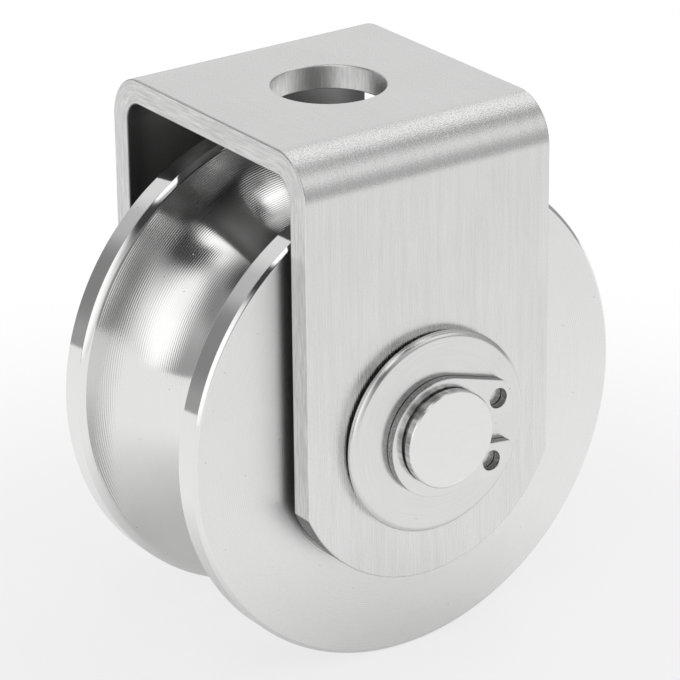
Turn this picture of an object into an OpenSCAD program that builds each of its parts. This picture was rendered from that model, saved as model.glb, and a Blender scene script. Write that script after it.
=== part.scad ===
// U-groove pulley wheel in a bent plate bracket.
// One bolt through the hole in the top plate hangs the bracket. A turned steel wheel runs
// between its legs on two ball bearings, round a pin that two washers and two clips hold.
// Origin: centre of the bolt hole on the top face. +Z is up and the pin lies along Y.
// The front leg is at -Y. The wheel's groove takes a round rail, a tube or a rope.

/* [Wheel] */
// Diameter over the rims
wheel_d = 75; // [70:0.5:90]
// Width over the two side faces
wheel_w = 34.8; // [33:0.2:42]
// Radius of the round bottom of the groove
groove_r = 12.9; // [10:0.1:13.5]
// Depth of the groove below the rims
groove_depth = 12.9; // [10:0.1:13.5]
// Chamfer where the groove meets each rim
lip_chamfer = 0.65; // [0.2:0.05:1]
// Chamfer where each rim meets its side face
rim_chamfer = 0.5; // [0.2:0.05:1]

/* [Bracket] */
// Thickness of the bent plate
plate_t = 3.8; // [3:0.1:6]
// Width of the plate, along the way the wheel rolls
bracket_w = 43; // [38:0.5:56]
// Inside radius of the two bends
bend_r = 3.2; // [2:0.1:4]
// Gap between the front leg and the wheel
front_gap = 1.6; // [1:0.1:4]
// Gap between the rear leg and the wheel, wider in the photo than the front one
rear_gap = 5.6; // [1:0.1:8]
// Gap between the rims and the underside of the top plate
top_gap = 4.5; // [3:0.1:12]
// How far the radius of a leg's round end exceeds half the plate's width
end_bulge = 1.8; // [0.5:0.1:6]
// Diameter of the bolt hole in the top plate
bolt_hole_d = 17; // [10:0.5:22]

/* [Pin] */
// Diameter of the pin and bore of the bearings
pin_d = 15; // [12:0.5:16]
// How far each end of the pin stands out of its clip
pin_proud = 1.7; // [0.8:0.1:4]
// Chamfer round each end of the pin
pin_chamfer = 0.2; // [0.1:0.05:0.7]
// Depth of the clip grooves in the pin
clip_groove_depth = 0.6; // [0.4:0.05:0.9]
// How much wider a clip groove is than its clip
clip_play = 0.4; // [0.05:0.05:0.6]
// Gap between the pin and the holes of the legs, washers and spacers
pin_gap = 0.1; // [0.05:0.05:0.3]
// Wall of the spacer sleeves on the pin
spacer_wall = 2.4; // [1.5:0.1:2.8]

/* [Washers and clips] */
// Diameter of the washer outside each leg
washer_d = 31; // [27:0.5:36]
// Thickness of the washers
washer_t = 2.2; // [1.8:0.1:4]
// Width of the bevel round a washer's outer face
washer_bevel = 0.7; // [0.2:0.1:1]
// Chamfer round the side of a washer that lies on its leg
washer_relief = 1.2; // [0.2:0.1:1.4]
// Thickness of the clips on the pin
clip_t = 1.4; // [0.8:0.1:2]
// Radial width of a clip at the back of its ring
clip_band = 2.1; // [1.6:0.1:3]
// How much narrower the clip's ring is towards its lugs
clip_taper = 0.4; // [0:0.1:0.8]
// How far the clip's lugs reach out from the pin
clip_lug = 4.9; // [4:0.1:6]
// Opening between the clip's two lugs
clip_opening = 4.2; // [2:0.1:5]
// Diameter of the plier holes in the clip's lugs
clip_hole_d = 3.1; // [1.5:0.1:3.3]
// How far the clips hang below the middle of the pin
clip_drop = 0.28; // [0:0.02:0.4]
// Turn of the clips round the pin, from level with the lugs at +X
clip_turn = -7; // [-180:0.25:180]

/* [Bearings] */
// Outer diameter of the bearings
bearing_d = 35; // [32:0.5:38]
// Width of one bearing
bearing_w = 11; // [10:0.5:13]
// Diameter of one ball
ball_d = 5.95; // [5:0.05:6.3]
// Balls in one bearing
ball_count = 8; // [5:1:8]
// Gap between a ball and each race
race_gap = 0.03; // [0.02:0.01:0.1]
// Thickness of the pressed shields
shield_t = 0.4; // [0.3:0.05:0.6]
// Thickness of the retaining rings that hold the bearings in the wheel
retainer_t = 1.5; // [1:0.1:2]
// How deep a retaining ring's outer face lies below the wheel's side face
retainer_depth = 1.3; // [0.8:0.1:2.5]

/* [Hidden] */
$fn = 96;
sides = ["front", "rear"];

// Wheel
wheel_r = wheel_d / 2;
groove_centre_r = wheel_r - groove_depth + groove_r;
groove_half = groove_depth >= groove_r ? groove_r : sqrt(groove_r ^ 2 - (groove_r - groove_depth) ^ 2);

// Bracket, with the middle of its span at y = 0
inner_span = front_gap + wheel_w + rear_gap;
leg_face = inner_span / 2 + plate_t;
wheel_y = (front_gap - rear_gap) / 2;
pin_drop = wheel_r + top_gap + plate_t;
end_r = bracket_w / 2 + end_bulge;
past = 1;

// Pin
pin_r = pin_d / 2;
loose_r = pin_r + pin_gap;
washer_face = leg_face + washer_t;
clip_face = washer_face + clip_t;
pin_end = clip_face + pin_proud;
groove_slack = 0.1;
fit_gap = 0.02;
clip_inner_r = pin_r - clip_groove_depth + clip_drop + fit_gap;
spacer_r = loose_r + spacer_wall;

// Washers and clips, whose lugs end clip_corner_turn either side of the middle of the opening
washer_bevel_h = 0.4;
clip_corner_turn = 37.4;
clip_hole_turn = 28;
clip_hole_share = 0.58;

// Bearings, whose faces are measured from the middle of the wheel
bearing_r = bearing_d / 2;
bearing_out = wheel_w / 2 - retainer_depth - retainer_t;
bearing_in = bearing_out - bearing_w;
pitch_r = (pin_r + bearing_r) / 2;
ball_r = ball_d / 2;
shoulder = 1.95;
inner_ring_r = pitch_r - shoulder;
outer_ring_r = pitch_r + shoulder;
ring_chamfer = 0.5;
hub_step = 2.5;
shield_depth = 0.5;
shield_seat = 0.8;
shield_gap = 0.3;
cage_wall = 2;
pocket_gap = 0.1;
cage_back = 0.8;
cage_lip = 1.2;
retainer_band = 2.4;
retainer_seat = 1;
retainer_lug = 4.6;
retainer_lug_turn = 26;
retainer_hole_d = 2.5;
retainer_hole_turn = 20;
retainer_opening = 7;

function sign_of(s) = s == "front" ? -1 : 1;
function polar(r, angle) = [r * cos(angle), r * sin(angle)];

// Puts a shape that is drawn round Z onto the pin, with its Z along +Y for the rear side
module on_pin(y = 0, side = "rear") {
    translate([0, y, -pin_drop]) mirror([0, side == "front" ? 1 : 0, 0]) rotate([-90, 0, 0]) children();
}

// Puts a flat outline, drawn as seen from the front, on the pin from y outwards
module plate_on_pin(y, t, side) {
    translate([0, 0, -pin_drop]) mirror([0, side == "front" ? 0 : 1, 0])
        translate([0, -y, 0]) rotate([90, 0, 0]) linear_extrude(t) children();
}

// Ring of rectangular section round Z, or a solid bar where r_in is 0, with its outer edges chamfered
module ring(r_in, r_out, z0, z1, chamfer = 0) {
    rotate_extrude() polygon([[r_in, z0], [r_out - chamfer, z0], [r_out, z0 + chamfer],
        [r_out, z1 - chamfer], [r_out - chamfer, z1], [r_in, z1]]);
}

// Side view of the strip that the bracket is bent from: a box with two round corners and no bottom
module arch_2d(half, top, r) {
    translate([-half, -end_r - past]) square([2 * half, top - r + end_r + past]);
    translate([r - half, -end_r - past]) square([2 * (half - r), top + end_r + past]);
    for (side = [-1, 1]) translate([side * (half - r), top - r]) circle(r);
}

// Front view of the bracket: straight sides that end in one arc round the pin
module leg_2d() {
    intersection() {
        translate([-bracket_w / 2, -end_r]) square([bracket_w, end_r + pin_drop]);
        union() {
            circle(end_r);
            translate([-bracket_w / 2, 0]) square([bracket_w, pin_drop]);
        }
    }
}

module bracket() {
    color([0.78, 0.79, 0.80]) difference() {
        translate([0, 0, -pin_drop]) intersection() {
            translate([-bracket_w / 2 - past, 0, 0]) rotate([90, 0, 90]) linear_extrude(bracket_w + 2 * past)
                difference() {
                    arch_2d(leg_face, pin_drop, bend_r + plate_t);
                    translate([0, -past]) arch_2d(inner_span / 2, pin_drop - plate_t + past, bend_r);
                }
            translate([0, leg_face + past, 0]) rotate([90, 0, 0])
                linear_extrude(2 * (leg_face + past)) leg_2d();
        }
        on_pin(-leg_face - past) cylinder(r = loose_r, h = 2 * (leg_face + past));
        translate([0, 0, -plate_t - past]) cylinder(d = bolt_hole_d, h = plate_t + 2 * past);
    }
}

// Half section of the wheel: distance from the axis across, distance from its middle up
module wheel_2d() {
    half = wheel_w / 2;
    lip = groove_half + lip_chamfer;
    difference() {
        polygon([[bearing_r - hub_step, -half], [wheel_r - rim_chamfer, -half],
            [wheel_r, -half + rim_chamfer], [wheel_r, -lip], [wheel_r - lip_chamfer, -groove_half],
            [wheel_r - lip_chamfer, groove_half], [wheel_r, lip], [wheel_r, half - rim_chamfer],
            [wheel_r - rim_chamfer, half], [bearing_r - hub_step, half]]);
        translate([groove_centre_r, 0]) circle(groove_r);
        if (groove_centre_r < wheel_r)
            translate([groove_centre_r, -groove_r]) square([groove_depth, 2 * groove_r]);
        for (side = [-1, 1]) mirror([0, side < 0 ? 1 : 0]) {
            translate([0, bearing_in]) square([bearing_r, half]);
            translate([0, bearing_out]) square([bearing_r + retainer_seat, retainer_t + groove_slack]);
        }
    }
}

module wheel() {
    color([0.84, 0.84, 0.84]) on_pin(wheel_y) rotate_extrude() wheel_2d();
}

// Turned pin with a groove for a clip near each end
module pin() {
    color([0.86, 0.86, 0.86]) on_pin() difference() {
        ring(0, pin_r, -pin_end, pin_end, pin_chamfer);
        for (side = [-1, 1]) mirror([0, 0, side < 0 ? 1 : 0])
            ring(pin_r - clip_groove_depth, pin_r + past, washer_face, clip_face + clip_play);
    }
}

module centre_spacer() {
    color([0.70, 0.71, 0.73]) on_pin(wheel_y) ring(loose_r, spacer_r, -bearing_in, bearing_in);
}

// Sleeve between a leg and the inner ring of the bearing beside it
module spacer(side) {
    ring_face = bearing_out + sign_of(side) * wheel_y;
    color([0.70, 0.71, 0.73]) on_pin(0, side) ring(loose_r, spacer_r, ring_face, inner_span / 2);
}

// Washer with a low bevel outside and a wide chamfer on the side that lies on the leg
module washer(side) {
    r = washer_d / 2;
    color([0.86, 0.86, 0.86]) on_pin(0, side) rotate_extrude()
        polygon([[loose_r, leg_face], [r - washer_relief, leg_face], [r, leg_face + washer_relief],
            [r, washer_face - washer_bevel_h], [r - washer_bevel, washer_face], [loose_r, washer_face]]);
}

// Outline of a clip that grips a pin: each lug runs out along a tangent to the ring and ends in an arc
module clip_2d() {
    ring_r = clip_inner_r + clip_band - clip_taper / 2;
    lug_r = pin_r + clip_lug;
    hole_r = pin_r + clip_lug * clip_hole_share;
    touch = clip_corner_turn + acos(ring_r / lug_r);
    difference() {
        union() {
            translate([-clip_taper / 2, 0]) circle(ring_r);
            intersection() {
                circle(lug_r);
                polygon([[0, 0], polar(ring_r, touch), polar(lug_r, clip_corner_turn),
                    [lug_r / cos(clip_corner_turn), 0],
                    polar(lug_r, -clip_corner_turn), polar(ring_r, -touch)]);
            }
        }
        circle(clip_inner_r);
        translate([0, -clip_opening / 2]) square([lug_r + past, clip_opening]);
        for (side = [-1, 1]) translate(polar(hole_r, side * clip_hole_turn)) circle(d = clip_hole_d);
    }
}

module clip(side) {
    color([0.88, 0.88, 0.88]) plate_on_pin(washer_face, clip_t, side)
        translate([0, -clip_drop]) rotate(clip_turn) clip_2d();
}

// Ring that springs out into a groove in the wheel's bore, with two lugs that point inwards
module retainer_2d() {
    seat_r = bearing_r + retainer_seat - groove_slack;
    band_r = seat_r - retainer_band;
    lug_r = bearing_r - retainer_lug;
    hole_r = lug_r + retainer_hole_d;
    difference() {
        circle(seat_r);
        difference() {
            circle(band_r);
            polygon([[0, 0], polar(2 * seat_r, 90 - retainer_lug_turn),
                polar(2 * seat_r, 90 + retainer_lug_turn)]);
        }
        circle(lug_r);
        translate([-retainer_opening / 2, 0]) square([retainer_opening, seat_r + past]);
        for (side = [-1, 1])
            translate(polar(hole_r, 90 + side * retainer_hole_turn)) circle(d = retainer_hole_d);
    }
}

module retaining_ring(side) {
    color([0.45, 0.46, 0.48])
        plate_on_pin(bearing_out + sign_of(side) * wheel_y, retainer_t, side) retainer_2d();
}

// Places a bearing part, drawn round Z with the outer face up, in its pocket
module in_bearing(side) {
    on_pin(wheel_y + sign_of(side) * (bearing_out - bearing_w / 2), side) children();
}

// Half section of a bearing ring, with its race and a seat for each shield
module race_2d(r_in, r_out) {
    half = bearing_w / 2;
    difference() {
        polygon([[r_in, -half + ring_chamfer], [r_in + ring_chamfer, -half], [r_out - ring_chamfer, -half],
            [r_out, -half + ring_chamfer], [r_out, half - ring_chamfer], [r_out - ring_chamfer, half],
            [r_in + ring_chamfer, half], [r_in, half - ring_chamfer]]);
        translate([pitch_r, 0]) circle(ball_r + race_gap);
    }
}

module outer_ring(side) {
    color([0.75, 0.76, 0.78]) in_bearing(side) rotate_extrude() difference() {
        race_2d(outer_ring_r, bearing_r);
        for (face = [-1, 1]) mirror([0, face < 0 ? 1 : 0])
            translate([0, bearing_w / 2 - shield_depth - shield_t])
                square([outer_ring_r + shield_seat, bearing_w / 2]);
    }
}

module inner_ring(side) {
    color([0.75, 0.76, 0.78]) in_bearing(side) rotate_extrude() race_2d(pin_r + fit_gap, inner_ring_r);
}

// Pressed disc that closes one face of a bearing: face is 1 for the outer face, -1 for the inner one
module shield(side, face) {
    color([0.55, 0.56, 0.58]) in_bearing(side) mirror([0, 0, face < 0 ? 1 : 0])
        ring(inner_ring_r + shield_gap, outer_ring_r + shield_seat,
            bearing_w / 2 - shield_depth - shield_t, bearing_w / 2 - shield_depth);
}

module at_ball(i) {
    rotate(360 * (i - 1) / ball_count) translate([pitch_r, 0, 0]) children();
}

// Crown cage: one ring with a round pocket for each ball, open towards the middle of the wheel
module cage(side) {
    back = ball_r + pocket_gap + cage_back;
    color([0.83, 0.79, 0.66]) in_bearing(side) difference() {
        ring(pitch_r - cage_wall / 2, pitch_r + cage_wall / 2, -cage_lip, back);
        for (i = [1:ball_count]) at_ball(i) sphere(ball_r + pocket_gap);
    }
}

module ball(side, i) {
    color([0.88, 0.89, 0.90]) in_bearing(side) at_ball(i) sphere(ball_r);
}

bracket();
wheel();
pin();
centre_spacer();
for (s = sides) {
    spacer(s);
    washer(s);
    clip(s);
    retaining_ring(s);
    outer_ring(s);
    inner_ring(s);
    cage(s);
    shield(s, 1);
    shield(s, -1);
    for (i = [1:ball_count]) ball(s, i);
}
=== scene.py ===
# %% [markdown]
# # A pulley wheel in a bent plate bracket
#
# The real object is all steel: a strip of plate bent into a square arch, a turned wheel with a round
# groove, a pin across the two legs, and a washer and a spring clip outside each leg. Two ball bearings
# sit inside the hub. Steel has almost no colour of its own, so what makes it look real is how each
# piece was finished (brushed, turned, sheared) and what it has to reflect. So the work below starts with
# helpers for exact shapes with small rounded edges and for finishes. Then it takes the pieces one by
# one, each with its own finish, and ends with a plain pale studio. Lengths are in metres, as in the
# frame, and small sizes are written as mm * MM.

# %% Load the frame
import math

import bpy
import bmesh
import numpy as np
from mathutils import Matrix, Vector
from mathutils.geometry import tessellate_polygon


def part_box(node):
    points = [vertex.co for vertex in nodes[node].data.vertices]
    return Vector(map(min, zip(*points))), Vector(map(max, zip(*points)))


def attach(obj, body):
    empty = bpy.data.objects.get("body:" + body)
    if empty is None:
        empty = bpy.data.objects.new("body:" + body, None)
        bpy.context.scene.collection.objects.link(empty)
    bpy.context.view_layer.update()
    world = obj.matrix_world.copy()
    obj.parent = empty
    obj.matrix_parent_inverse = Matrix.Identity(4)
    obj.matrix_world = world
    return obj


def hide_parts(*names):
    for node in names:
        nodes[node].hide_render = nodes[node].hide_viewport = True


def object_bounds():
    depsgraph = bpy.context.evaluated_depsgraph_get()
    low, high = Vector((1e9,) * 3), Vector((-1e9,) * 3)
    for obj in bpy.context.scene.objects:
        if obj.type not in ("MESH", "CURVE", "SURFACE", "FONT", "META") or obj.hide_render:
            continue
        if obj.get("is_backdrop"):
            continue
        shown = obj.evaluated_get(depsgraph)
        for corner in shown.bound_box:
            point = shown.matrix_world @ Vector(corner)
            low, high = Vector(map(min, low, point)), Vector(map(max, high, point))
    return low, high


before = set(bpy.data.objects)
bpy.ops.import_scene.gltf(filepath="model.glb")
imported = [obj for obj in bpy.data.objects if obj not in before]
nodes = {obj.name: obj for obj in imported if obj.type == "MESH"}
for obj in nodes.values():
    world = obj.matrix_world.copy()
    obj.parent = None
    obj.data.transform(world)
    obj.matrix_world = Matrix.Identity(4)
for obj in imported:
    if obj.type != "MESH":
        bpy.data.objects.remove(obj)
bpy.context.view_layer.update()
MM = 0.001
SIDES = {"front": -1, "rear": 1}
print("nodes in the frame:", len(nodes))

# %% [markdown]
# Every size that the frame already knows is measured from its boxes, so that a piece made here sits
# where the frame's piece sits. Only what a box can't tell, such as a radius inside a shape, is written
# down as a number of its own.

# %% Sizes taken from the frame


def corners(node):
    """Lowest and highest corner of a frame node, as two arrays."""
    low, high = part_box(node)
    return np.array(low), np.array(high)


plate_low, plate_high = corners("bracket")
wheel_low, wheel_high = corners("wheel")
pin_low, pin_high = corners("pin")
washer_low, washer_high = corners("rear_washer")

half_plate = plate_high[0]
leg_face = plate_high[1]
leg_inside = corners("rear_spacer")[1][1]
wheel_r = (wheel_high[0] - wheel_low[0]) / 2
wheel_half = (wheel_high[1] - wheel_low[1]) / 2
wheel_y = (wheel_high[1] + wheel_low[1]) / 2
axle_z = (wheel_high[2] + wheel_low[2]) / 2
pin_r = (pin_high[0] - pin_low[0]) / 2
pin_end = pin_high[1]
end_r = axle_z - plate_low[2]
washer_r = washer_high[0]
washer_back = washer_low[1]
washer_face = washer_high[1]
clip_face = corners("rear_clip")[1][1]
print("wheel radius %.2f mm, pin %.2f mm below the top" % (wheel_r / MM, -axle_z / MM))

# %% [markdown]
# ## Meshes from whole arrays
#
# A mesh is points and triangles. A surface that depends on two parameters is a grid of points, worked
# out at once as one array, and its triangles follow from the grid's shape. Writing shapes this way
# needs no loop over points, and each size stays a plain number that can be changed.

# %% Grids of points


def grid_faces(rows, columns):
    """Two triangles for each cell of a grid of rows by columns points."""
    first = np.arange((rows - 1) * columns).reshape(rows - 1, columns)[:, :-1].ravel()
    lower = np.stack([first, first + 1, first + columns + 1], 1)
    upper = np.stack([first, first + columns + 1, first + columns], 1)
    return np.concatenate([lower, upper])


def sheet_of(points, pattern):
    """A grid of points (rows, columns, 3) with its pattern coordinates, as one surface."""
    rows, columns = points.shape[:2]
    pattern = np.broadcast_to(pattern, points.shape)
    return points.reshape(-1, 3), grid_faces(rows, columns), pattern.reshape(-1, 3)


print("a grid of 3 by 4 points has", len(grid_faces(3, 4)), "triangles")

# %% [markdown]
# Several grids that share their borders make a closed solid once the points that lie on each other are
# one point. The weld rounds every point to a tiny step and keeps one of each, so that no seam is open.

# %% The weld
WELD = 0.13e-6


def welded(surfaces):
    """Surfaces joined into one set: points closer than WELD become one, and empty triangles go."""
    starts = np.cumsum([0] + [len(surface[0]) for surface in surfaces[:-1]])
    points = np.concatenate([surface[0] for surface in surfaces])
    faces = np.concatenate([surface[1] + start for surface, start in zip(surfaces, starts)])
    pattern = np.concatenate([surface[2] for surface in surfaces])
    cells = np.round(points / WELD).astype(np.int64)
    kept, where = np.unique(cells, axis=0, return_index=True, return_inverse=True)[1:]
    faces = where.ravel()[faces]
    whole = (faces != np.roll(faces, 1, 1)).all(1)
    return points[kept], faces[whole], pattern[kept]


print("points nearer than %.2f micrometres become one" % (WELD / 1e-6))

# %% [markdown]
# Steel parts are flat faces with narrow rounded edges. Plain smooth shading would spread the rounding
# over the faces. Here a large triangle counts for much more than a small one, so the faces stay flat
# and only the narrow arcs blend.

# %% Shading


def smooth_normals(points, faces):
    """Each point's normal is the sum of its triangles' normals, each times its area squared,
    so that a wide flat face stays flat up to the thin rounding at its edge."""
    a, b, c = (points[faces[:, k]] for k in range(3))
    cross = np.cross(b - a, c - a) / MM**2
    cross *= np.linalg.norm(cross, axis=1)[:, None]
    total = np.zeros_like(points)
    for k in range(3):
        np.add.at(total, faces[:, k], cross)
    return total / np.maximum(np.linalg.norm(total, axis=1), 1e-30)[:, None]


one_triangle = np.array([(0, 0, 0), (MM, 0, 0), (0, MM, 0)])
print("the normals of a flat triangle:", smooth_normals(one_triangle, np.array([[0, 1, 2]])).tolist())

# %% [markdown]
# The weld, the outward normals and the shading are the same for every piece, so one function turns
# surfaces into an object. It also says which body of the frame the piece rides on, which node it stands
# for and which material slot it fills, and it keeps the pattern coordinates that the finishes follow.

# %% One closed piece


def solid(name, surfaces, body, replaced, material):
    """One closed piece of the object, shaded smooth, that rides on a body and stands for a node."""
    points, faces, pattern = welded(surfaces)
    mesh = bpy.data.meshes.new(name)
    mesh.from_pydata(points, [], faces)
    work = bmesh.new()
    work.from_mesh(mesh)
    bmesh.ops.recalc_face_normals(work, faces=work.faces)
    loose = sum(not edge.is_manifold for edge in work.edges)
    work.to_mesh(mesh)
    work.free()
    corner = np.empty(len(mesh.loops), np.int32)
    mesh.loops.foreach_get("vertex_index", corner)
    mesh.polygons.foreach_set("use_smooth", np.ones(len(mesh.polygons), bool))
    mesh.attributes.new("pattern", "FLOAT_VECTOR", "POINT").data.foreach_set("vector", pattern.ravel())
    mesh.normals_split_custom_set_from_vertices(smooth_normals(points, corner.reshape(-1, 3)))
    mesh.materials.append(material)
    piece = bpy.data.objects.new(name, mesh)
    bpy.context.scene.collection.objects.link(piece)
    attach(piece, body)
    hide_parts(replaced)
    print("%s: %d triangles, %d open edges" % (name, len(mesh.polygons), loose))


# %% [markdown]
# ## Sections with small rounded corners
#
# No real edge is perfectly sharp, and the thin bright line along each edge of a steel part is the
# light caught by its tiny rounding. A section is drawn by its corners and each corner then becomes an
# arc that touches both of its sides.

# %% Rounded corners
EDGE = 0.08 * MM


def rounded(corner_points, radius=EDGE, steps=3, closed=True):
    """An outline whose corners are arcs. For a corner with half angle h and radius q, the arc's centre
    lies q / sin h along the bisector, and the arc meets the sides q / tan h from the corner."""
    p = np.asarray(corner_points, float)
    radius = np.broadcast_to(radius, len(p))[:, None]
    back = np.roll(p, 1, 0) - p
    ahead = np.roll(p, -1, 0) - p
    back /= np.linalg.norm(back, axis=1)[:, None]
    ahead /= np.linalg.norm(ahead, axis=1)[:, None]
    half = np.arccos(np.clip((back * ahead).sum(1), -1, 1))[:, None] / 2
    centre = p + (back + ahead) / (2 * np.cos(half)) * radius / np.sin(half)
    start = p + back * radius / np.tan(half) - centre
    end = p + ahead * radius / np.tan(half) - centre
    sweep = (np.pi - 2 * half)[:, None]
    share = np.linspace(0, 1, steps + 1)[None, :, None]
    from_start = np.sin((1 - share) * sweep) / np.sin(sweep)
    from_end = np.sin(share * sweep) / np.sin(sweep)
    arcs = centre[:, None] + from_start * start[:, None] + from_end * end[:, None]
    if closed:
        return arcs.reshape(-1, 2)
    return np.concatenate([p[:1], arcs[1:-1].reshape(-1, 2), p[-1:]])


square = [(0, 0), (MM, 0), (MM, MM), (0, MM)]
print("a square with rounded corners has", len(rounded(square)), "points")

# %% [markdown]
# ## Turned pieces
#
# The wheel, pin, washers and spacers come off a lathe: a section carried round the pin's axis. A lathe
# leaves fine rings, so each point also keeps how far along the section it lies. A finish that draws
# lines across that length draws rings on the piece, on its faces and in its groove alike.

# %% The lathe
TURNS = 256


def lathe(section):
    """A section of (distance from the axis r, place along the pin y) turned round the pin's axis:
    at angle t a point goes to (r cos t, y, r sin t) from the axis. Its pattern is (length along the
    section, r, y)."""
    turn = np.linspace(0, 2 * np.pi, TURNS + 1)[None, :]
    r = section[:, :1]
    y = section[:, 1:]
    points = np.stack([r * np.cos(turn), y + 0 * turn, r * np.sin(turn) + axle_z], -1)
    step = np.linalg.norm(np.diff(section, axis=0), axis=1)
    along = np.concatenate([[0], np.cumsum(step)])[:, None]
    pattern = np.stack([along, r, y], -1)
    return sheet_of(points, pattern)


def ring_section(r_in, r_out, y_0, y_1, edge):
    """The closed section of a plain ring with rounded edges."""
    section = rounded([(r_in, y_0), (r_out, y_0), (r_out, y_1), (r_in, y_1)], edge)
    return np.concatenate([section, section[:1]])


print("a washer's section has", len(ring_section(pin_r, washer_r, 0, MM, EDGE)), "points, carried round",
      TURNS, "times")

# %% [markdown]
# ## Pieces cut from plate
#
# The bracket and the clips are flat outlines with a thickness. Their walls are one small section (a
# quarter arc, a straight, a quarter arc) carried along each outline and round each hole, and the two
# faces are filled between the outlines. A last function puts the flat piece where it belongs, and for
# the bracket that function also bends it.

# %% Walls of a plate


def turned_out(loop):
    """For each point of a closed loop, the direction out of the metal, on the right of the way the loop
    runs. It is the sum of its two sides' unit normals times 2 over that sum's length squared, so that
    both sides of a corner move out by the same distance."""
    way = np.roll(loop, -1, 0) - loop
    way /= np.linalg.norm(way, axis=1)[:, None]
    out = np.stack([way[:, 1], -way[:, 0]], 1)
    both = out + np.roll(out, 1, 0)
    return 2 * both / (both * both).sum(1)[:, None]


def wall_section(thickness, edge, steps=3):
    """The wall's section as (distance in from the outline, depth), from one face to the other: at angle
    t of the first arc it is (edge (1 - sin t), edge (1 - cos t)), and the last arc mirrors the first."""
    turn = np.linspace(0, np.pi / 2, steps + 1)
    top = np.stack([edge * (1 - np.sin(turn)), edge * (1 - np.cos(turn))], 1)
    low = top[::-1] * (1, -1) + (0, thickness)
    return np.concatenate([top, low])


def wall(loop, thickness, edge, place):
    """The wall section carried along a closed loop: a point is the loop's point less the outward
    direction times the section's distance in, at the section's depth."""
    section = wall_section(thickness, edge)
    out = turned_out(loop)
    ring = loop[None] - out[None] * section[:, None, :1]
    ring = np.concatenate([ring, ring[:, :1]], 1)
    depth = np.broadcast_to(section[:, None, 1:], ring.shape[:2] + (1,))
    flat = np.concatenate([ring, depth], 2)
    return sheet_of(place(flat), flat)


print("a wall's section has", len(wall_section(MM, EDGE)), "points")

# %% [markdown]
# A face between an outline and its holes can't be one grid, so it is filled with triangles between the
# loops. The loops are first moved in by the rounded edge's width, to meet the walls where they end.

# %% Faces, holes and arcs


def face(loops, depth, place):
    """The flat face between an outline and the holes in it, at one depth."""
    flat = [np.column_stack([loop, np.full(len(loop), depth)]) for loop in loops]
    triangles = np.array(tessellate_polygon([loop.tolist() for loop in flat]))
    points = np.concatenate(flat)
    return place(points), triangles, points


def shrunk(loop, edge):
    """The loop moved into the metal by the width of the rounded edge."""
    return loop - turned_out(loop) * edge


def circle(centre, radius, steps):
    """Points round a hole, at angle t the centre plus radius times (cos t, sin t). The angle runs
    clockwise, so that the metal lies on the left."""
    turn = -2 * np.pi * np.arange(steps) / steps
    return np.array(centre) + radius * np.stack([np.cos(turn), np.sin(turn)], 1)


def arc(centre, radius, start, end, steps):
    """Points along an arc between two angles in degrees, both ends included: at angle t the centre plus
    radius times (cos t, sin t)."""
    turn = np.radians(np.linspace(start, end, steps + 1))
    return np.array(centre) + radius * np.stack([np.cos(turn), np.sin(turn)], 1)


print("a quarter arc of 1 mm ends at", arc((0, 0), 1.0, 0, 90, 8)[-1].round(6))

# %% [markdown]
# ## Shader sums written as Python
#
# A finish is mostly arithmetic on coordinates: lines are noise stretched one way, wear is a mask times
# a noise. One small class wraps a socket so that this arithmetic reads as ordinary Python, and its
# method node makes any other kind of node.

# %% The socket class


class Sock:
    """A socket in a node tree. Python's operators on it add Math nodes; node() adds any other. The
    reflected forms, such as __rsub__, are for a number on the left, as in 1 - mask."""

    def __init__(self, tree, socket=None):
        self.tree = tree
        self.socket = socket

    def node(self, kind, settings=None, sockets=None, output=0):
        """A node of this kind with its settings, its inputs' values or links, and the output to use."""
        made = self.tree.nodes.new(kind)
        for key, value in (settings or {}).items():
            setattr(made, key, value)
        for key, value in (sockets or {}).items():
            if isinstance(value, Sock):
                self.tree.links.new(value.socket, made.inputs[key])
            else:
                made.inputs[key].default_value = value
        return Sock(self.tree, made.outputs[output] if len(made.outputs) else None)

    def math(self, operation, *values):
        """A Math node; each value is a number or a socket."""
        return self.node("ShaderNodeMath", {"operation": operation}, dict(enumerate(values)))

    def __add__(self, other):
        return self.math("ADD", self, other)

    def __radd__(self, other):
        return self.math("ADD", other, self)

    def __sub__(self, other):
        return self.math("SUBTRACT", self, other)

    def __rsub__(self, other):
        return self.math("SUBTRACT", other, self)

    def __mul__(self, other):
        return self.math("MULTIPLY", self, other)

    def __rmul__(self, other):
        return self.math("MULTIPLY", other, self)

    def __truediv__(self, other):
        return self.math("DIVIDE", self, other)

    def __rtruediv__(self, other):
        return self.math("DIVIDE", other, self)

    def __pow__(self, other):
        return self.math("POWER", self, other)

    def ramp(self, low, high):
        """0 below low, 1 above high, smooth between; the other way round if low is above high."""
        start, end = (0, 1) if low < high else (1, 0)
        ends = {"From Min": min(low, high), "From Max": max(low, high), "To Min": start, "To Max": end}
        settings = {"interpolation_type": "SMOOTHSTEP"}
        return self.node("ShaderNodeMapRange", settings, {"Value": self, **ends})


named = [name for name in vars(Sock) if name[:2] != "__"]
print("a socket knows + - * / ** and", ", ".join(named))

# %% [markdown]
# Steel's marks have sizes that a maker knows in millimetres: brush lines 0.2 mm apart, a tool's feed of
# 0.34 mm. So every pattern is drawn on coordinates in millimetres, either the object's own or the
# pattern coordinates that follow the metal round its bends and turns.

# %% Coordinates and noise in millimetres


def scaled(vector, factors):
    """A vector times three factors."""
    return vector.node("ShaderNodeVectorMath", {"operation": "MULTIPLY"}, {0: vector, 1: factors})


def parts(vector):
    """The three parts of a vector, as sockets for sums."""
    split = vector.node("ShaderNodeSeparateXYZ", None, {0: vector})
    return [Sock(vector.tree, output) for output in split.socket.node.outputs]


def joined(graph, x, y, z):
    """A vector from three numbers or sockets."""
    return graph.node("ShaderNodeCombineXYZ", None, {0: x, 1: y, 2: z})


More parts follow.
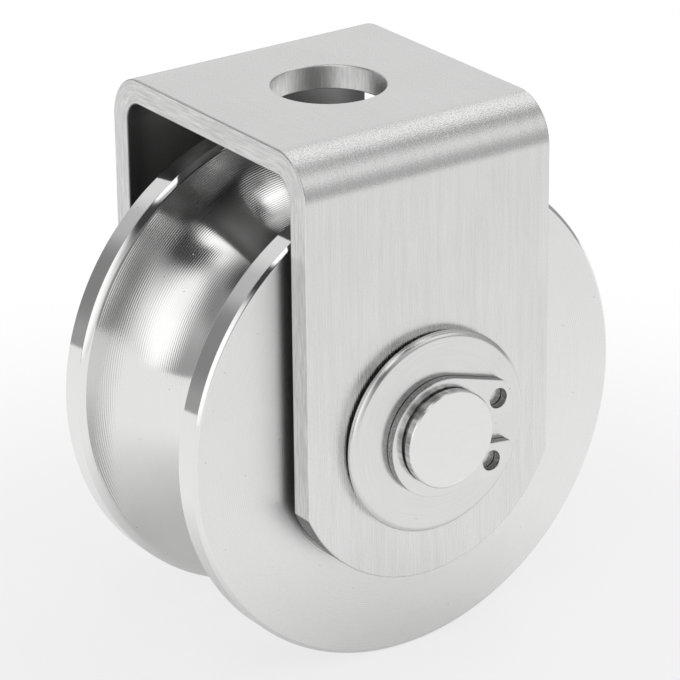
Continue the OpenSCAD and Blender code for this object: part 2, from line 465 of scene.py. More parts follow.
def noise(vector, stretch=(1, 1, 1), detail=2.0):
    """Noise from 0 to 1 over a vector in mm times a stretch: a stretch of 5 makes grains 0.2 mm wide."""
    sockets = {"Vector": scaled(vector, stretch), "Scale": 1.0, "Detail": detail, "Roughness": 0.5}
    return vector.node("ShaderNodeTexNoise", None, sockets)


def specks(vector, scale, size=0.045):
    """Small round marks scattered in space: 1 inside a mark. Scale is how many there are in a mm."""
    sockets = {"Vector": vector, "Scale": scale}
    return vector.node("ShaderNodeTexVoronoi", None, sockets).ramp(size, size / 2)


def mixed(low, high, mask):
    """low where the mask is 0 and high where it is 1."""
    return low + mask * (high - low)


def in_mm(graph, source):
    """Object coordinates, or the piece's own pattern attribute, in millimetres."""
    if source == "pattern":
        vector = graph.node("ShaderNodeAttribute", {"attribute_name": "pattern"}, None, "Vector")
    else:
        vector = graph.node("ShaderNodeTexCoord", None, None, "Object")
    return scaled(vector, (1 / MM, 1 / MM, 1 / MM))


def size_of(socket):
    """The number without its sign."""
    return socket.math("ABSOLUTE", socket)


def off_axle(place):
    """x and z from the pin's axis, in mm, from object coordinates in mm."""
    x, _, z = parts(place)
    return x, z - axle_z / MM


print("the pin's axis lies at z = %.1f mm" % (axle_z / MM))

# %% [markdown]
# Bare steel is a metal with hardly any colour: its look is how bright it is, how rough, and its tiny
# relief. A finish is therefore a function that returns those three, and one helper makes the material.

# %% From a finish to a material


def grey(graph, value, warmth=0.995):
    """A steel colour from a value: red and green as it is, blue a touch less."""
    return graph.node("ShaderNodeCombineColor", None, {0: value, 1: value, 2: value * warmth})


def empty_material(name):
    """A material without nodes, and the graph that takes them."""
    material = bpy.data.materials.new(name)
    material.use_nodes = True
    material.node_tree.nodes.clear()
    return material, Sock(material.node_tree)


def metal(name, finish):
    """A metal whose finish(graph) returns value, roughness and height in mm (or None)."""
    material, graph = empty_material(name)
    value, roughness, height = finish(graph)
    sockets = {"Base Color": grey(graph, value), "Roughness": roughness, "Metallic": 1.0}
    if height is not None:
        sockets["Normal"] = graph.node("ShaderNodeBump", None, {"Height": height, "Distance": MM})
    shader = graph.node("ShaderNodeBsdfPrincipled", None, sockets)
    graph.node("ShaderNodeOutputMaterial", None, {"Surface": shader})
    print(name, "has", len(material.node_tree.nodes), "nodes")
    return material


# %% [markdown]
# ## The bracket's finish
#
# The plate was brushed along the strip before it was bent, so its lines run up the legs and over the
# top, fainter on top than on the legs. Bending stretches the outer skin, which then shows a coarse grain.
# Shears leave streaks along the cut edges and the punch leaves marks down the bolt hole. The rounded
# ends are painted darker, as painted shade. The inner side is rougher and is painted dark as the shade
# inside the arch, darkest near its long edges. The pattern coordinates of the plate are the flat strip's
# own (along, across, depth), so one set of lines follows every bend.

# %% Brushed plate
PLATE_T = leg_face - leg_inside
BEND_R = 7.0 * MM
FLAT_HALF = leg_face - BEND_R
BEND_END = FLAT_HALF + BEND_R * np.pi / 2
HOLE_R = 8.5 * MM
pin_along = BEND_END - BEND_R - axle_z


def brushed_plate(graph):
    """Noise stretches are grains in a mm along the strip, across it and through its thickness."""
    # The shade of the rounded ends, and of the inner side, darkest near its long edges, is painted into
    # these values.
    brushed, sheared, painted_end_shade, inner, painted_inner_rim_shade = 0.73, 0.74, 0.16, 0.32, 0.13
    strip = in_mm(graph, "pattern")
    along, across, depth = parts(strip)
    lines = noise(strip, (0.14, 6.0, 0.0), detail=3.0)
    broad = noise(strip, (0.03, 0.9, 0.0), detail=2.0)
    cloud = noise(strip, (0.07, 0.07, 0.2), detail=3.0)
    grain = noise(strip, (5.5, 2.6, 0.0), detail=2.0)
    streaks = noise(strip, (0.35, 0.35, 5.0), detail=4.0)
    punched = noise(strip, (2.5, 2.5, 0.4), detail=4.0)

    thick, edge_in, punch_r = PLATE_T / MM, 0.3, HOLE_R / MM + 1
    corner_at = (pin_along - FLAT_HALF + math.sqrt(end_r**2 - half_plate**2)) / MM
    bend_end = (BEND_END - FLAT_HALF) / MM
    past = size_of(along) - FLAT_HALF / MM
    cut = depth.ramp(0.05, edge_in) * depth.ramp(thick - 0.05, thick - edge_in)
    inside = depth.ramp(thick - edge_in, thick - 0.05)
    end = past.ramp(corner_at - 0.2, corner_at + 0.4)
    hole = ((along * along + across * across) ** 0.5).ramp(punch_r + 1, punch_r)
    bend = past.ramp(0.4, 1.6) * past.ramp(bend_end, bend_end - 1.5) * (1 - past.ramp(3.6, 5.5) * 0.6)
    rim = size_of(across).ramp(half_plate / MM - 6, half_plate / MM - 1)
    leg = mixed(0.3, 1.0, past.ramp(0, bend_end))

    torn = mixed(streaks, punched, hole)
    skin = brushed + (lines - 0.5) * leg * 0.22 + (broad - 0.5) * leg * 0.10 + (cloud - 0.5) * 0.06
    skin = skin + (grain - 0.5) * bend * 0.35
    cut_value = mixed(sheared, painted_end_shade, end) + (torn - 0.5) * mixed(0.6, 0.4, hole)
    # The inner side takes its painted shade here.
    value = mixed(mixed(skin, cut_value, cut), mixed(inner, painted_inner_rim_shade, rim), inside)
    roughness = mixed(mixed(0.27 + (lines - 0.5) * 0.12, 0.38, cut), 0.50, inside)
    height = (lines * leg * 0.03 + grain * bend * 0.08) * (1 - cut) + torn * cut * 0.03
    return value, roughness, height


plate_finish = metal("brushed_plate", brushed_plate)

# %% [markdown]
# ## The bracket
#
# One strip of plate, cut with rounded ends and three holes and then bent twice. Working on the flat
# strip keeps everything simple: the outline is two straights and two arcs, and bending is a formula
# applied to the finished points. Along the strip a point keeps its length measured on the outer skin.

# %% Bend the strip
BEND_STEPS = 20
END_STEPS = 48
HOLE_STEPS = 96
PIN_HOLE_R = pin_r + 0.1 * MM
PLATE_EDGE = 0.25 * MM
bend_rows = np.linspace(FLAT_HALF, BEND_END, BEND_STEPS + 1)


def bent(flat):
    """Bends a flat strip of (along, across, depth) points. Up to FLAT_HALF it lies flat. In the bend
    the angle is the length past FLAT_HALF over the outer radius, and the point keeps its depth below
    the outer skin. Past the bend it hangs straight down."""
    along, across, depth = np.moveaxis(flat, -1, 0)
    run = np.abs(along)
    angle = np.clip((run - FLAT_HALF) / BEND_R, 0, np.pi / 2)
    y = np.minimum(run, FLAT_HALF) + (BEND_R - depth) * np.sin(angle)
    z = (BEND_R - depth) * np.cos(angle) - BEND_R - np.maximum(run - BEND_END, 0)
    return np.stack([across, np.sign(along) * y, z], -1)


corner_turn = math.degrees(math.acos(half_plate / end_r))
end_arc = arc((pin_along, 0), end_r, corner_turn - 90, 90 - corner_turn, END_STEPS)
side = np.concatenate([-bend_rows[::-1], bend_rows])
right_side = np.stack([side, np.full(len(side), -half_plate)], 1)
outline = np.concatenate([right_side, end_arc, -right_side, -end_arc])
print("strip outline:", len(outline), "points, end corner at", round(corner_turn, 1), "degrees")

# %% [markdown]
# On the flat strip the bracket is one wall round the outline, one round each hole, and the faces between
# them. The faces are made in pieces, the top, the two legs and the skins of the two bends, that share
# their borders, because only a bend needs many rows of points.

# %% Build the bracket
bolt_hole = circle((0, 0), HOLE_R, HOLE_STEPS)
pin_holes = [circle((way * pin_along, 0), PIN_HOLE_R, HOLE_STEPS) for way in (-1, 1)]
inner = shrunk(outline, PLATE_EDGE)
inner_half = half_plate - PLATE_EDGE
surfaces = [wall(loop, PLATE_T, PLATE_EDGE, bent) for loop in [outline, bolt_hole, *pin_holes]]
top = np.array([(-FLAT_HALF, -inner_half), (FLAT_HALF, -inner_half), (FLAT_HALF, inner_half),
                (-FLAT_HALF, inner_half)])
for depth in (0, PLATE_T):
    surfaces.append(face([top, shrunk(bolt_hole, PLATE_EDGE)], depth, bent))
    for way, hole in zip((-1, 1), pin_holes):
        leg = inner[inner[:, 0] * way > BEND_END - WELD]
        step = np.linalg.norm(leg - np.roll(leg, 1, 0), axis=1)
        start = np.argmax(step * (leg[:, 0] * way < BEND_END + WELD))
        surfaces.append(face([np.roll(leg, -start, 0), shrunk(hole, PLATE_EDGE)], depth, bent))
        along, across = np.meshgrid(way * bend_rows, [-inner_half, inner_half], indexing="ij")
        flat = np.stack([along, across, np.full(along.shape, depth)], -1)
        surfaces.append(sheet_of(bent(flat), flat))
solid("bent_bracket", surfaces, "bracket", "bracket", plate_finish)

# %% [markdown]
# ## The wheel's finish
#
# The wheel was turned and then polished. Polishing leaves faint rings that run round the piece, so the
# noise changes quickly along the section and hardly at all round the axis. In the groove the steps of
# the tool's feed still show, as a row of shallow hollows 0.34 mm wide. The flat sides were only ground:
# they are paler and rougher, with a fine grain.

# %% Turned and polished wheel
FEED = 0.34


def lathe_rings(graph, along, x, z, round_way=0.1, per_mm=6.0):
    """The rings of a lathe tool: noise with per_mm grains in a mm of the section, few round the axis."""
    return noise(joined(graph, x * round_way, along * per_mm, z * round_way))


def turned_wheel(graph):
    """The pattern is (length along the section, distance from the axis, place along the pin)."""
    polished, ground_more = 0.77, 0.07
    along, radius, y = parts(in_mm(graph, "pattern"))
    place = in_mm(graph, "object")
    x, z = off_axle(place)
    rings = lathe_rings(graph, along, x, z, 0.05, 5.0)
    hollow = along.math("FRACT", along / FEED) - 0.5
    tool = hollow * hollow * 4.0
    cloud = noise(place, (0.08, 0.08, 0.08))
    fine = noise(place, (1.5, 1.5, 1.5), detail=4.0)
    marks = specks(place, 0.4)

    rim, flat_side = wheel_r / MM, wheel_half / MM
    groove = radius.ramp(rim - 0.7, rim - 1.1)
    side = size_of(y - wheel_y / MM).ramp(flat_side - 0.3, flat_side - 0.1)
    side = side * radius.ramp(rim - 0.5, rim - 0.7)

    value = polished + side * ground_more + (rings - 0.5) * 0.04 + (cloud - 0.5) * 0.04
    value = value + (fine - 0.5) * side * 0.05 - marks * 0.35
    roughness = mixed(0.05 + rings * 0.03 + groove * 0.04, 0.36 + (fine - 0.5) * 0.1, side)
    height = rings * 0.002 + tool * groove * 0.009 + (1 - marks) * 0.01
    return value, roughness, height


wheel_finish = metal("turned_wheel", turned_wheel)

# %% [markdown]
# ## The wheel
#
# A solid of revolution: a half-round groove between two flat rims, each with a narrow chamfer on both
# of its edges, flat side faces, and a stepped bore that holds a bearing from each side, with a groove
# outside it for the ring that keeps it in.

# %% Half of the wheel's section
GROOVE_R = 12.9 * MM
LIP = 0.65 * MM
RIM = 0.5 * MM
HUB_STEP = 2.5 * MM
SEAT = 1.0 * MM
RING_ROOM = 1.6 * MM
bearing_low, bearing_high = corners("rear_outer_ring")
bearing_in = bearing_low[1] - wheel_y
bearing_out = bearing_high[1] - wheel_y
bearing_r = bearing_high[0]
seat_out = bearing_out + RING_ROOM


def half_wheel():
    """Corners of the wheel's section from the groove's edge out and round to the middle of its bore."""
    groove_edge = math.sqrt(GROOVE_R**2 - LIP**2)
    return np.array([
        (wheel_r - LIP, groove_edge), (wheel_r, GROOVE_R + LIP), (wheel_r, wheel_half - RIM),
        (wheel_r - RIM, wheel_half), (bearing_r, wheel_half), (bearing_r, seat_out),
        (bearing_r + SEAT, seat_out), (bearing_r + SEAT, bearing_out),
        (bearing_r, bearing_out), (bearing_r, bearing_in), (bearing_r - HUB_STEP, bearing_in),
        (bearing_r - HUB_STEP, 0)])


print("half of the section has", len(half_wheel()), "corners")

# %% [markdown]
# The section is symmetric, so half of it is drawn and mirrored, with the groove's arc between the two
# halves. Each corner has its own softness: the lips and the rims are handled and were deburred, so
# their roundings are wider than the plain edges inside.

# %% Turn the wheel
GROOVE_STEPS = 72
LIP_EDGE = 0.15 * MM
RIM_EDGE = 0.35 * MM
groove_turn = math.degrees(math.acos(LIP / GROOVE_R))
groove = arc((0, 0), GROOVE_R, -groove_turn, groove_turn, GROOVE_STEPS) * (-1, 1) + (wheel_r, 0)
one_side = half_wheel()
soft = np.full(len(one_side), EDGE)
soft[1] = LIP_EDGE
soft[3] = RIM_EDGE
one_side = rounded(one_side, soft, steps=4, closed=False)
other_side = one_side[::-1] * (1, -1)
section = np.concatenate([other_side, groove[1:-1], one_side]) + (0, wheel_y)
solid("turned_wheel_body", [lathe(section)], "wheel", "wheel", wheel_finish)

# %% [markdown]
# ## The pin
#
# The pin's end is faced on the lathe and shows as a bright disc with faint rings and a few soft marks.
# Its wall was drawn through a die, so it is darker, with patches stretched along the pin.

# %% Faced and drawn pin


def turned_pin(graph):
    """The end is bright; wall is 1 from just behind the chamfer."""
    along, _, y = parts(in_mm(graph, "pattern"))
    x, z = off_axle(in_mm(graph, "object"))
    rings = lathe_rings(graph, along, x, z)
    drawn = noise(joined(graph, x * 1.2, y * 0.25, z * 1.2), detail=3.0)
    marks = noise(joined(graph, x * 0.4, y, z * 2.5), detail=3.0)
    wall = size_of(y).ramp(pin_end / MM - 0.1, pin_end / MM - 0.25)
    value = mixed(0.78 + (marks - 0.5) * 0.04, 0.50 + (drawn - 0.5) * 1.2, wall)
    roughness = mixed(0.2 + rings * 0.06, 0.3, wall)
    height = rings * 0.003 + drawn * wall * 0.02
    return value, roughness, height


pin_finish = metal("turned_pin", turned_pin)

# %% [markdown]
# Near each end a groove holds the clip. It is a little wider than the clip is thick, and that narrow
# dark gap is what shows the eye that the clip is a separate piece. Half of the pin is drawn, from the
# middle of its end to the middle of its wall, and mirrored.

# %% Turn the pin
CLIP_GROOVE = 0.6 * MM
CLIP_PLAY = 0.4 * MM
PIN_CHAMFER = 0.2 * MM
groove_r = pin_r - CLIP_GROOVE
groove_out = clip_face + CLIP_PLAY
end = np.array([(0, pin_end), (pin_r - PIN_CHAMFER, pin_end), (pin_r, pin_end - PIN_CHAMFER),
                (pin_r, groove_out), (groove_r, groove_out), (groove_r, washer_face),
                (pin_r, washer_face), (pin_r, 0)])
half_pin = rounded(end, EDGE, closed=False)
pin_section = np.concatenate([half_pin[:-1], half_pin[::-1][1:] * (1, -1)])
solid("turned_pin_bar", [lathe(pin_section)], "bracket", "pin", pin_finish)

# %% [markdown]
# ## Washers and spacers
#
# These small rings are turned and left as they come off the tool: plain steel, slightly cloudy, with
# fine rings and a few small marks. A spacer is just that.

# %% Small turned rings


def turned_small(graph):
    """Plain turned steel."""
    along, _, _ = parts(in_mm(graph, "pattern"))
    place = in_mm(graph, "object")
    x, z = off_axle(place)
    rings = lathe_rings(graph, along, x, z)
    cloud = noise(place, (0.2, 0.2, 0.2))
    marks = specks(place, 0.5, 0.08)
    value = 0.72 + (rings - 0.5) * 0.10 + (cloud - 0.5) * 0.04 - marks * 0.2
    return value, 0.20 + rings * 0.08, rings * 0.004 + (1 - marks) * 0.01


spacer_finish = metal("spacer_steel", turned_small)

# %% [markdown]
# A washer has a cone cut away on the side of the leg. The outer half of that cone is freshly cut and
# bright. Its foot, deep in the corner against the leg, is painted near black as shade. The polished leg
# mirrors that painted shade, and this is the dark crescent that follows the washer's edge.

# %% Washer with painted shade at its foot
RELIEF = 1.2 * MM


def washer(graph):
    """Turned steel, with the cone towards the leg bright and painted shade at the foot of the cone."""
    # The foot of the cone is painted near black as shade.
    cone, painted_foot_shade, soft = 0.97, 0.03, 0.1
    _, radius, y = parts(in_mm(graph, "pattern"))
    value, roughness, height = turned_small(graph)
    cone_end = (washer_back + RELIEF) / MM
    foot_r = (washer_r - RELIEF / 2) / MM
    relief = size_of(y).ramp(cone_end + soft / 2, cone_end - soft / 2)
    shaded_foot = radius.ramp(foot_r, foot_r - soft)
    return mixed(value, mixed(cone, painted_foot_shade, shaded_foot), relief), roughness + shaded_foot * relief * 0.3, height


washer_finish = metal("washer_steel", washer)

# %% [markdown]
# The washer's section has six corners: two at its bore, the relief at the back, and a wide bevel at the
# front with very soft edges, which catches one broad light. Both sides of the pulley use the same
# section, mirrored by the sign of y. A spacer is a plain ring between the leg and the bearing.

# %% Turn the washers and spacers
BEVEL = 0.7 * MM
BEVEL_H = 0.4 * MM
WASHER_EDGE = 0.1 * MM
BEVEL_EDGE = 0.8 * MM
SLEEVE_EDGE = 0.2 * MM
washer_section = np.array([
    (PIN_HOLE_R, washer_back), (washer_r - RELIEF, washer_back), (washer_r, washer_back + RELIEF),
    (washer_r, washer_face - BEVEL_H), (washer_r - BEVEL, washer_face), (PIN_HOLE_R, washer_face)])
soft = np.array([WASHER_EDGE] * 3 + [BEVEL_EDGE] * 2 + [WASHER_EDGE])
washer_section = rounded(washer_section, soft, steps=6)
washer_section = np.concatenate([washer_section, washer_section[:1]])
for side_name, way in SIDES.items():
    solid(side_name + "_washer_ring", [lathe(washer_section * (1, way))], "bracket", side_name + "_washer",
          washer_finish)
    low, high = corners(side_name + "_spacer")
    ring = ring_section(PIN_HOLE_R, high[0], low[1], high[1], SLEEVE_EDGE)
    solid(side_name + "_spacer_sleeve", [lathe(ring)], "bracket", side_name + "_spacer",
          spacer_finish)

# %% [markdown]
# ## The clips
#
# A clip is stamped from spring steel. Its faces keep the smooth rolled skin, and its edge is torn by the
# punch, so it is darker and streaky. Its underside lies on the washer and is painted near black as shade.

# %% Stamped spring steel


def stamped_clip(graph):
    """The pattern's third part is the depth below the outer face."""
    _, _, depth = parts(in_mm(graph, "pattern"))
    place = in_mm(graph, "object")
    thick = (clip_face - washer_face) / MM
    cut = depth.ramp(0.06, 0.16) * depth.ramp(thick - 0.06, thick - 0.16)
    painted_underside_shade = depth.ramp(thick - 0.16, thick - 0.08)
    cloud = noise(place, (0.4, 0.4, 0.4))
    torn = noise(place, (3.0, 6.0, 3.0), detail=4.0)
    rolled_skin = 0.72 + (cloud - 0.5) * 0.06
    torn_edge = 0.38 + (torn - 0.5) * 1.2
    # The underside is painted near black as shade where it lies on the washer.
    value = mixed(mixed(rolled_skin, torn_edge, cut), 0.03, painted_underside_shade)
    roughness = mixed(0.2 + (cloud - 0.5) * 0.1, 0.42, cut)
    return value, roughness, torn * (0.002 + cut * 0.06)


clip_finish = metal("clip_steel", stamped_clip)

# %% [markdown]
# The clip is a ring that is cut open between two lugs, each with a hole for pliers. Its outline is arcs
# and straights: the lug's arc round the pin, a straight that touches the band, the band's outer arc, and
# back along its inner one. The band's outer arc has its centre a little off the pin, so the band is
# thickest opposite the opening, and half of it is drawn and mirrored.

# %% Outline of a clip
CLIP_IN = 7.2 * MM
CLIP_BAND = 2.1 * MM
CLIP_TAPER = 0.4 * MM
CLIP_LUG = 4.9 * MM
CLIP_OPEN = 4.2 * MM
CLIP_HOLE_R = 1.55 * MM
CLIP_CORNER = 37.4
CLIP_HOLE_TURN = 28
CLIP_HOLE_SHARE = 0.58
LUG_STEPS = 10
BAND_STEPS = 40
INNER_STEPS = 80
clip_r = CLIP_IN + CLIP_BAND - CLIP_TAPER / 2
lug_r = pin_r + CLIP_LUG
clip_touch = CLIP_CORNER + math.degrees(math.acos(clip_r / lug_r))


def opening_turn(radius):
    """The angle at which a circle of this radius meets the side of the opening."""
    return math.degrees(math.asin(CLIP_OPEN / 2 / radius))


lug_arc = arc((0, 0), lug_r, opening_turn(lug_r), CLIP_CORNER, LUG_STEPS)
band_arc = arc((-CLIP_TAPER / 2, 0), clip_r, clip_touch, 180, BAND_STEPS)
outer_half = np.concatenate([lug_arc, band_arc])
inner_arc = arc((0, 0), CLIP_IN, 360 - opening_turn(CLIP_IN), opening_turn(CLIP_IN), INNER_STEPS)
clip_outline = np.concatenate([outer_half, outer_half[-2::-1] * (1, -1), inner_arc])
hole_r = pin_r + CLIP_LUG * CLIP_HOLE_SHARE
lug_holes = [circle(arc((0, 0), hole_r, turn, turn, 1)[0], CLIP_HOLE_R, BAND_STEPS)
             for turn in (-CLIP_HOLE_TURN, CLIP_HOLE_TURN)]
print("clip outline:", len(clip_outline), "points")

# %% [markdown]
# A clip is free to turn and to drop by its play in the groove, and no two sit alike. On this pulley the
# opening points to one side, a little below level, and the clip hangs low by a quarter of a millimetre.

# %% Stamp the clips
CLIP_DROP = 0.28 * MM
CLIP_TURN = math.radians(-7)


def clip_place(way, y_0):
    """Puts (u, v, depth) points on the pin. Turned by an angle t a point goes to (u cos t - v sin t,
    u sin t + v cos t) from the axis, lowered by CLIP_DROP, and its depth runs in from y_0."""
    cos, sin = math.cos(CLIP_TURN), math.sin(CLIP_TURN)

    def place(flat):
        u, v, depth = np.moveaxis(flat, -1, 0)
        return np.stack([u * cos - v * sin, y_0 - way * depth, u * sin + v * cos + axle_z - CLIP_DROP], -1)

    return place


thick = clip_face - washer_face
loops = [clip_outline, *lug_holes]
inner_loops = [shrunk(loop, EDGE) for loop in loops]
for side_name, way in SIDES.items():
    place = clip_place(way, way * clip_face)
    surfaces = [wall(loop, thick, EDGE, place) for loop in loops]
    surfaces += [face(inner_loops, depth, place) for depth in (0, thick)]
    solid(side_name + "_clip_stamped", surfaces, "bracket", side_name + "_clip", clip_finish)

# %% [markdown]
# ## What the hub hides
#
# The bearings and their rings keep the frame's own meshes, which are true already, and only get a
# finish. The retaining rings are dark oiled spring steel and the shields are pressed from bright sheet.
# Both are rolled metal, cloudy with a fine grain, and differ only in their numbers.

# %% Rolled steel inside the hub


def rolled(value, spread, roughness, clouds, grains, relief):
    """A finish of rolled steel. Clouds and grains are how many of them there are in a mm."""

    def finish(graph):
        place = in_mm(graph, "object")
        cloud = noise(place, (clouds, clouds, clouds)) - 0.5
        grain = noise(place, (grains, grains, grains))
        return value + cloud * spread, roughness + cloud * 0.1, grain * relief

    return finish


spring_finish = metal("spring_steel", rolled(0.22, 0.12, 0.35, 0.6, 5.0, 0.004))
shield_finish = metal("shield_steel", rolled(0.55, 0.10, 0.28, 0.5, 4.0, 0.002))

# %% [markdown]
# A bearing's rings are ground, which leaves very fine lines round them, and its balls are lapped until
# they are all but a mirror. So the rings' noise depends only on the distance from the axis and the
# place along it, and the balls have almost no noise at all.

# %% Ground rings and polished balls


def ground_ring(graph):
    """Fine lines that run round the axis."""
    place = in_mm(graph, "object")
    x, z = off_axle(place)
    _, y, _ = parts(place)
    radius = (x * x + z * z) ** 0.5
    lines = noise(joined(graph, radius * 5.0, y * 5.0, 0.0), detail=2.0)
    return 0.68 + (lines - 0.5) * 0.06, 0.12 + lines * 0.05, lines * 0.001


def polished_ball(graph):
    """Bright and even."""
    cloud = noise(in_mm(graph, "object"), (1.0, 1.0, 1.0))
    return 0.80 + (cloud - 0.5) * 0.03, 0.05 + cloud * 0.03, None


ring_finish = metal("bearing_steel", ground_ring)
ball_finish = metal("bearing_balls", polished_ball)

# %% [markdown]
# The cages are moulded nylon, the only piece here that isn't metal. Undyed nylon is a warm off-white
# with a satin skin, so this material mixes two such colours by a soft noise.

# %% Moulded nylon


def nylon_material():
    """Moulded nylon: a warm off-white plastic with a faint mottle."""
    material, graph = empty_material("cage_nylon")
    place = in_mm(graph, "object")
    mottle = noise(place, (0.8, 0.8, 0.8))
    dark, pale = (0.72, 0.68, 0.52, 1), (0.80, 0.76, 0.62, 1)
    colour = graph.node("ShaderNodeMix", {"data_type": "RGBA"}, {0: mottle, 6: dark, 7: pale}, 2)
    grain = noise(place, (4.0, 4.0, 4.0)) * 0.003
    bump = graph.node("ShaderNodeBump", None, {"Height": grain, "Distance": MM})
    shader = graph.node("ShaderNodeBsdfPrincipled", None,
                        {"Base Color": colour, "Roughness": 0.45 + mottle * 0.1, "Normal": bump})
    graph.node("ShaderNodeOutputMaterial", None, {"Surface": shader})
    return material


nylon_finish = nylon_material()
print("nylon has", len(nylon_finish.node_tree.nodes), "nodes")

# %% [markdown]
# The frame's own objects already have a material slot each. Giving them a finish is one assignment for
# each slot, and their names tell which finish they take.

# %% Dress the frame's own nodes


def dress(names, material):
    """Gives the frame's own nodes a finish, in their material slots."""
    for name in names:
        for slot in nodes[name].material_slots:
            slot.material = material


for side_name in SIDES:
    dress([side_name + "_retaining_ring"], spring_finish)
    dress([side_name + "_outer_shield", side_name + "_inner_shield"], shield_finish)
    dress([side_name + "_outer_ring", side_name + "_inner_ring"], ring_finish)
    dress([side_name + "_cage"], nylon_finish)
dress([name for name in nodes if "_ball_" in name], ball_finish)
dress(["centre_spacer"], spacer_finish)
print("frame nodes dressed:", sum(not node.hide_render for node in nodes.values()))

# %% [markdown]
# ## The studio
#
# Polished steel shows the room around it. Photographed in a light tent, such a part reflects a white
# floor, bright lamps, grey walls and a few darker gaps where the tent ends. The world is that tent for
# every ray but the camera's, which sees plain white, and it is the only light. A world's coordinates
# are directions, so a place in the room is two angles: the turn from the front and the rise above level.

# %% Directions in the room
world = bpy.data.worlds.new("tent")
bpy.context.scene.world = world
world.use_nodes = True
world.node_tree.nodes.clear()
sky = Sock(world.node_tree)
x, y, z = parts(sky.node("ShaderNodeTexCoord", None, None, "Generated"))
DEGREES = 180 / math.pi
turn = x.math("ARCTAN2", x, y * -1) * DEGREES
rise = z.math("ARCSINE", z) * DEGREES


def toward(azimuth, elevation, inner, outer):
    """1 within inner degrees of a direction, 0 beyond outer; azimuth 0 is the front, 90 is +X."""
    a, e = math.radians(azimuth), math.radians(elevation)
    near = x * (math.sin(a) * math.cos(e)) - y * (math.cos(a) * math.cos(e)) + z * math.sin(e)
    return near.ramp(math.cos(math.radians(outer)), math.cos(math.radians(inner)))


def painted(tone, patches):
    """Lays soft round patches over a tone in this order, each (tone, azimuth, elevation, inner, outer)."""
    for shade, azimuth, elevation, inner, outer in patches:
        tone = mixed(tone, shade, toward(azimuth, elevation, inner, outer))
    return tone


print("directions use", len(world.node_tree.nodes), "nodes")

# %% [markdown]
# The tones and places were read off the photograph: wherever a flat or a curved face is bright or dark,
# its mirror direction says where in the room that tone is. The walls grow paler with height, under an
# even ceiling. Behind the right side stands a pale wall with a dark gap and a lamp above it.

# %% Walls, ceiling and the right side
tone = 0.40 + rise.ramp(0, 38) * 0.20
tone = painted(tone, [(0.86, 145, 20, 14, 34)])
tone = mixed(tone, 0.62, rise.ramp(45, 60))
tone = painted(tone, [
    (0.12, 142, 62, 7, 15),
    (1.35, 112, 54, 11, 20),
    (0.36, 62, 49, 7, 15),
    (1.05, 38, 29, 9, 19)])
low_band = rise.ramp(-4, 0) * rise.ramp(12, 6) * turn.ramp(5, 18) * turn.ramp(70, 52)
tone = mixed(tone, 0.58, low_band)
print("walls, ceiling and right side:", len(world.node_tree.nodes), "nodes")

# %% [markdown]
# Behind the left side the tent has dark gaps, which draw the dark edges that steel needs to look like
# steel. The left side itself holds the main lamps, above 1 because a lamp is brighter than white card.

# %% The left side
tone = painted(tone, [
    (0.28, -122, 43, 12, 28),
    (0.28, -138, 15, 8, 18),
    (0.06, -141, 49, 7, 13),
    (0.12, 163, 45, 9, 17),
    (0.85, -172, 36, 5, 13),
    (0.85, -28, 2, 8, 20),
    (1.30, -60, 13, 13, 33),
    (1.15, -66, 34, 4, 18),
    (1.20, -62, 66, 5, 14)])
print("with the left side:", len(world.node_tree.nodes), "nodes")

# %% [markdown]
# A dark beam slants across the front of the tent with a bright strip above it. Curved steel mirrors
# them as the dark line beside a bright one that the photograph shows. A slanted line in the room is a
# sum of rise and turn, and ramps of that sum are its two edges.

# %% The slanted beam
slant = rise + turn * 0.75 - 17
beam = slant.ramp(-17, -6) * slant.ramp(8, 4) * turn.ramp(-62, -44) * turn.ramp(10, 0)
strip = slant.ramp(4, 8) * turn.ramp(-110, -70) * turn.ramp(5, -5) * rise.ramp(38, 44)
tone = mixed(tone, 1.35, strip)
tone = mixed(tone, 0.06, beam)
tone = painted(tone, [
    (0.10, 12, 52, 9, 14),
    (0.08, 10, 69, 9, 15),
    (1.35, 32, 57, 5, 9),
    (1.35, 42, 66, 5, 9)])
print("with the beam:", len(world.node_tree.nodes), "nodes")

# %% [markdown]
# Below the horizon the room is a white floor, and a ray from the camera always sees white.

# %% World


def ray(graph, kind):
    """1 for a ray of this kind, such as one from the camera, and 0 for any other."""
    return graph.node("ShaderNodeLightPath", None, None, "Is " + kind + " Ray")


tent = mixed(1.0, tone, rise.ramp(-12, -6))
shade = mixed(tent, 1.0, ray(sky, "Camera"))
background = sky.node("ShaderNodeBackground", None, {"Color": grey(sky, shade, 1.0), "Strength": 1.0})
sky.node("ShaderNodeOutputWorld", None, {"Surface": background})
print("world nodes:", len(world.node_tree.nodes))

# %% [markdown]
# The floor is for soft shadows and for what the steel mirrors of the ground. Near the object a share of
# it is pale and matt, and further out it is all plain white light, so its edge never shows. In a mirror
# that share is larger, for a darker ground under the object, and it ends sooner.

# %% Floor
FLOOR_R = 0.4
FLOOR_STEPS = 96
SEEN_WHITE = 0.72
SEEN_FADE = (0.05, 0.14)
MIRRORED_WHITE = 0.30
MIRRORED_FADE = (0.02, 0.075)
floor_z = wheel_low[2]


def floor_material():
    """Matt near the middle and white further out; the share of white depends on who looks."""
    material, graph = empty_material("pale_floor")
    x, y, _ = parts(graph.node("ShaderNodeTexCoord", None, None, "Object"))
    radius = (x * x + y * y) ** 0.5
    matt = graph.node("ShaderNodeBsdfDiffuse", None, {"Color": (0.95, 0.95, 0.95, 1)})
    white = graph.node("ShaderNodeEmission", None, {"Color": (1, 1, 1, 1), "Strength": 1.0})
    seen = ray(graph, "Camera") * mixed(SEEN_WHITE, 1.0, radius.ramp(*SEEN_FADE))
    mirrored = ray(graph, "Glossy") + ray(graph, "Transmission")
    mirrored = mirrored * mixed(MIRRORED_WHITE, 1.0, radius.ramp(*MIRRORED_FADE))
    both = graph.node("ShaderNodeMixShader", None, {0: seen + mirrored, 1: matt, 2: white})
    graph.node("ShaderNodeOutputMaterial", None, {"Surface": both})
    return material


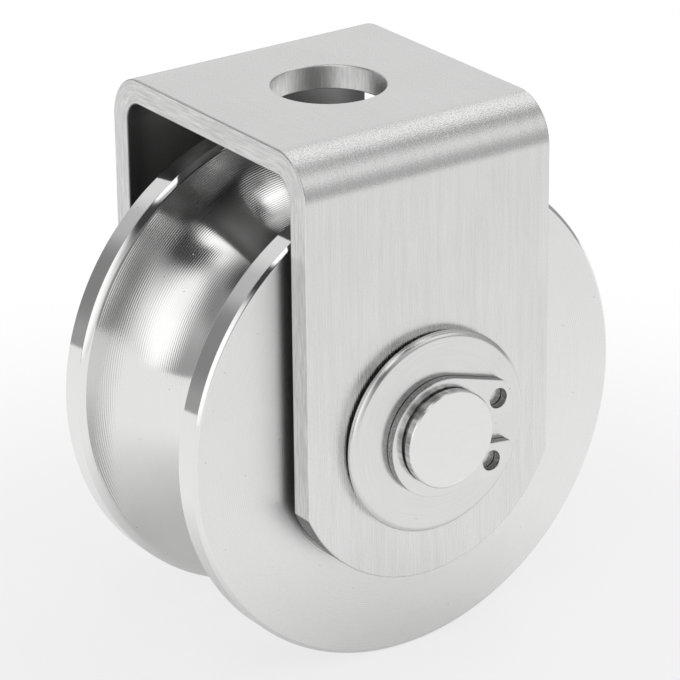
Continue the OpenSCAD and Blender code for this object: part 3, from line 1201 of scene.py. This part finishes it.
turn = np.linspace(0, 2 * np.pi, FLOOR_STEPS + 1)[None, :]
radius = np.array([0, FLOOR_R])[:, None]
disc = np.stack([radius * np.cos(turn), radius * np.sin(turn), floor_z + 0 * radius * turn], -1)
points, faces, _ = welded([sheet_of(disc, disc)])
floor_mesh = bpy.data.meshes.new("floor")
floor_mesh.from_pydata(points, [], faces)
floor_mesh.materials.append(floor_material())
floor = bpy.data.objects.new("floor", floor_mesh)
bpy.context.scene.collection.objects.link(floor)
floor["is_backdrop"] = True
print("floor: %d triangles at z = %.1f mm" % (len(faces), floor_z / MM))

# %% [markdown]
# ## The camera
#
# A long lens from the front left and above, at the angle of the photograph. Azimuth, elevation and roll
# give three directions, the camera's right, its up and its back, and these are the columns of its
# rotation matrix. It stands back from the point it looks at.

# %% Camera
AZIMUTH = -35.027
ELEVATION = 23.085
ROLL = -0.591
DISTANCE = 556.291 * MM
LENS = 206.27
TARGET = (-12.430 * MM, -19.959 * MM, 15.345 * MM + axle_z)

a, e = math.radians(AZIMUTH), math.radians(ELEVATION)
back = Vector((math.sin(a) * math.cos(e), -math.cos(a) * math.cos(e), math.sin(e)))
right = (-back).cross(Vector((0, 0, 1))).normalized()
up = right.cross(-back)
roll = math.radians(ROLL)
view_right = right * math.cos(roll) + up * math.sin(roll)
view_up = up * math.cos(roll) - right * math.sin(roll)
camera_data = bpy.data.cameras.new("camera")
camera_data.lens = LENS
camera_data.sensor_width = 36.0
camera_data.clip_start = 0.01
camera = bpy.data.objects.new("camera", camera_data)
turned = Matrix((view_right, view_up, back)).transposed().to_4x4()
camera.matrix_world = Matrix.Translation(Vector(TARGET) + back * DISTANCE) @ turned
bpy.context.scene.collection.objects.link(camera)
bpy.context.scene.camera = camera
bpy.context.scene.view_settings.view_transform = "Standard"
print("camera at", [round(v / MM, 1) for v in camera.matrix_world.translation], "mm")

# %% [markdown]
# ## The model's size
#
# The box of the finished model, without the floor, is measured and printed.

# %% The finished model's size
low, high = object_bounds()
print("visual model", [round(v / MM, 2) for v in high - low], "mm")
